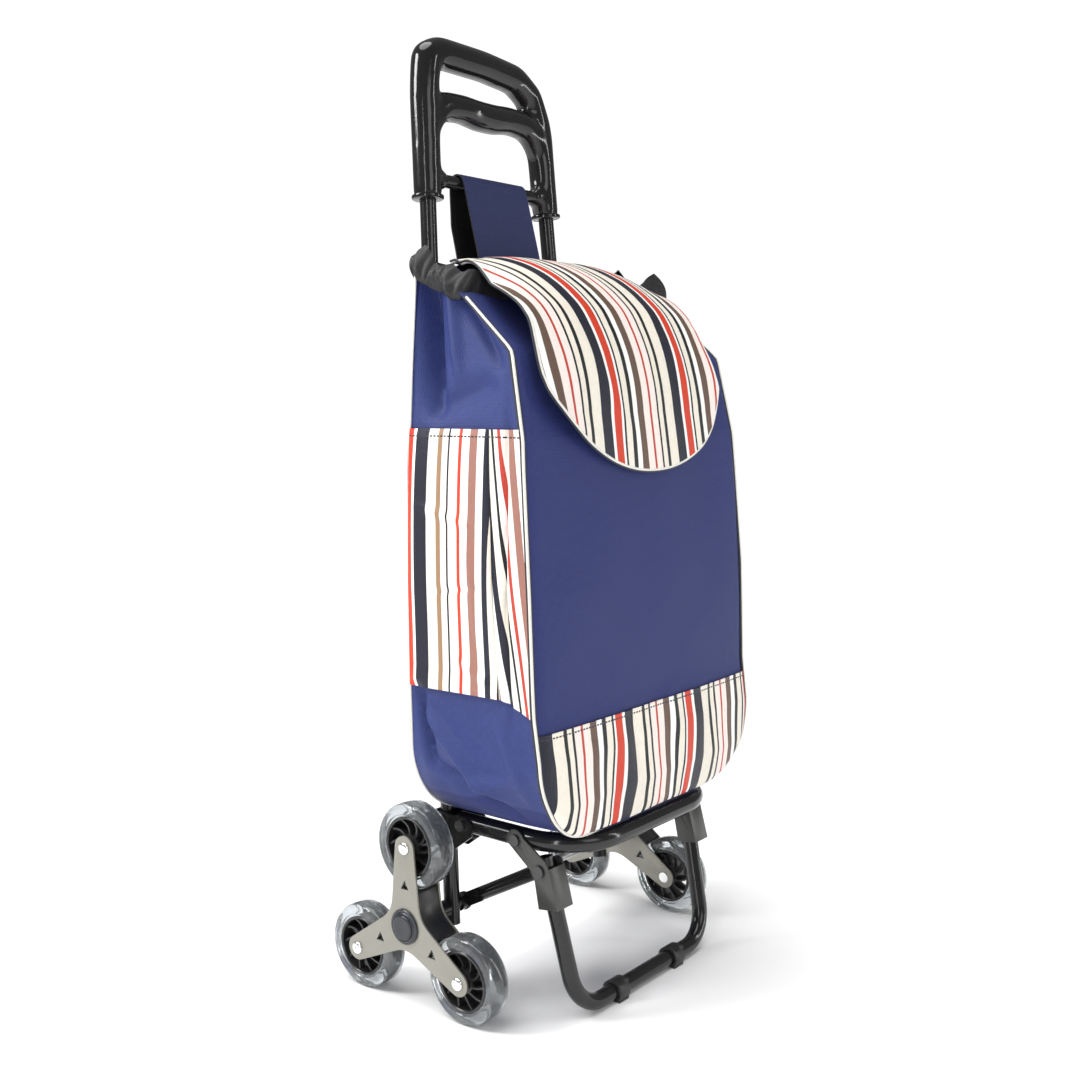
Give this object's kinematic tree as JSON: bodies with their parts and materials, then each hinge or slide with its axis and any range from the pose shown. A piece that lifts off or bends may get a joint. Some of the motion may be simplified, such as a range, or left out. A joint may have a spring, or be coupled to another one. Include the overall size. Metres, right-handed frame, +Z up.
{
  "type": "folding stair-climbing shopping trolley",
  "caption": "Upright two-handled shopping trolley with a soft flap-top bag, folding tube stand and platform, and two rotating three-wheel clusters for stairs.",
  "frame": {"origin": "on the floor below the centre of the trolley's bounding box", "axes": "+Z up, +Y to the back where the person who pulls it walks, +X to the right seen from the front"},
  "size_m": [0.386, 0.27, 0.9284],
  "materials": {
    "black_steel": "gloss black powder coat",
    "black_plastic": "gloss moulded",
    "zinc": "zinc plated",
    "dark_rivet": "black",
    "bracket_steel": "grey satin",
    "bracket_rivet": "darkened",
    "foot_plastic": "black",
    "star_plastic": "black",
    "star_plate": "champagne silver satin",
    "cap_plastic": "blue-black",
    "bright_pin": "bright zinc",
    "clear_tyre": "translucent polyurethane",
    "hub_plastic": "black",
    "navy_cloth": "coated oxford cloth, fine weave",
    "blue_cloth": "coated oxford cloth, fine weave",
    "board": "stiff board",
    "black_nylon": "thin nylon",
    "strap_cloth": "navy outside, black inside",
    "striped_cloth": "coated cloth, printed stripes",
    "white_piping": "woven piping with dark edges"
  },
  "bodies": {
    "frame": {"upright_left": "black_steel", "upright_right": "black_steel", "handle_grip": "black_plastic", "strap_bar": "black_plastic", "axle_rod": "zinc", "axle_spacers": "black_plastic", "axle_clips": "zinc", "gusset_left": "black_steel", "gusset_right": "black_steel", "frame_rivets": "dark_rivet", "upright_plugs": "black_plastic", "platform_pins": "dark_rivet", "bag_front_panel": "navy_cloth", "bag_back_panel": "navy_cloth", "bag_side_left": "blue_cloth", "bag_side_right": "blue_cloth", "bag_bottom": "navy_cloth", "base_board": "board", "bag_collar": "black_nylon", "pocket_left": "striped_cloth", "pocket_right": "striped_cloth", "front_band": "striped_cloth", "piping_front": "white_piping", "piping_back": "white_piping", "strap_loop": "strap_cloth"},
    "flap": {"flap": "striped_cloth", "flap_piping": "white_piping"},
    "platform": {"platform_loop": "black_steel"},
    "stand": {"stand_tube": "black_steel", "stand_bracket_left": "bracket_steel", "stand_bracket_right": "bracket_steel", "stand_rivets": "bracket_rivet", "foot_clip_left": "foot_plastic", "foot_clip_right": "foot_plastic"},
    "struts": {"strut_left": "black_steel", "strut_right": "black_steel"},
    "star_left": {"star_core_left": "star_plastic", "star_plates_left": "star_plate", "star_cap_left": "cap_plastic", "star_pins_left": "bright_pin"},
    "wheel_left_top": {"tyre_left_top": "clear_tyre", "hub_left_top": "hub_plastic"},
    "wheel_left_front": {"tyre_left_front": "clear_tyre", "hub_left_front": "hub_plastic"},
    "wheel_left_rear": {"tyre_left_rear": "clear_tyre", "hub_left_rear": "hub_plastic"},
    "star_right": {"star_core_right": "star_plastic", "star_plates_right": "star_plate", "star_cap_right": "cap_plastic", "star_pins_right": "bright_pin"},
    "wheel_right_top": {"tyre_right_top": "clear_tyre", "hub_right_top": "hub_plastic"},
    "wheel_right_front": {"tyre_right_front": "clear_tyre", "hub_right_front": "hub_plastic"},
    "wheel_right_rear": {"tyre_right_rear": "clear_tyre", "hub_right_rear": "hub_plastic"}
  },
  "joints": [
    {"name": "flap_open", "type": "hinge", "parent": "frame", "child": "flap", "pos_m": [0, 0.02459, 0.705], "axis": [-1, 0, 0], "range_deg": [0, 95]},
    {"name": "platform_fold", "type": "hinge", "parent": "frame", "child": "platform", "pos_m": [0, 0.00859, 0.167], "axis": [-1, 0, 0], "range_deg": [0, 80], "deforming": ["bag_front_panel", "bag_back_panel", "bag_side_left", "bag_side_right", "bag_bottom", "base_board", "bag_collar", "pocket_left", "pocket_right", "front_band", "piping_front", "piping_back"]},
    {"name": "stand_fold", "type": "hinge", "parent": "platform", "child": "stand", "pos_m": [0, -0.05941, 0.167], "axis": [-1, 0, 0], "range_deg": [-98.3, 0]},
    {"name": "strut_swing", "type": "hinge", "parent": "frame", "child": "struts", "pos_m": [0, 0.02859, 0.0795], "axis": [-1, 0, 0], "range_deg": [0, 38.7]},
    {"name": "star_spin_left", "type": "hinge", "parent": "frame", "child": "star_left", "pos_m": [-0.172, 0.02859, 0.0795], "axis": [1, 0, 0], "continuous": true},
    {"name": "wheel_spin_left_top", "type": "hinge", "parent": "star_left", "child": "wheel_left_top", "pos_m": [-0.172, 0.02859, 0.1555], "axis": [1, 0, 0], "continuous": true},
    {"name": "wheel_spin_left_front", "type": "hinge", "parent": "star_left", "child": "wheel_left_front", "pos_m": [-0.172, -0.03723, 0.0415], "axis": [1, 0, 0], "continuous": true},
    {"name": "wheel_spin_left_rear", "type": "hinge", "parent": "star_left", "child": "wheel_left_rear", "pos_m": [-0.172, 0.09441, 0.0415], "axis": [1, 0, 0], "continuous": true},
    {"name": "star_spin_right", "type": "hinge", "parent": "frame", "child": "star_right", "pos_m": [0.172, 0.02859, 0.0795], "axis": [1, 0, 0], "continuous": true},
    {"name": "wheel_spin_right_top", "type": "hinge", "parent": "star_right", "child": "wheel_right_top", "pos_m": [0.172, 0.02859, 0.1555], "axis": [1, 0, 0], "continuous": true},
    {"name": "wheel_spin_right_front", "type": "hinge", "parent": "star_right", "child": "wheel_right_front", "pos_m": [0.172, -0.03723, 0.0415], "axis": [1, 0, 0], "continuous": true},
    {"name": "wheel_spin_right_rear", "type": "hinge", "parent": "star_right", "child": "wheel_right_rear", "pos_m": [0.172, 0.09441, 0.0415], "axis": [1, 0, 0], "continuous": true}
  ],
  "couplings": [
    {"joint": "stand_fold", "follows": "platform_fold", "ratio": -1.2276},
    {"joint": "strut_swing", "follows": "platform_fold", "ratio": 0.4823}
  ]
}
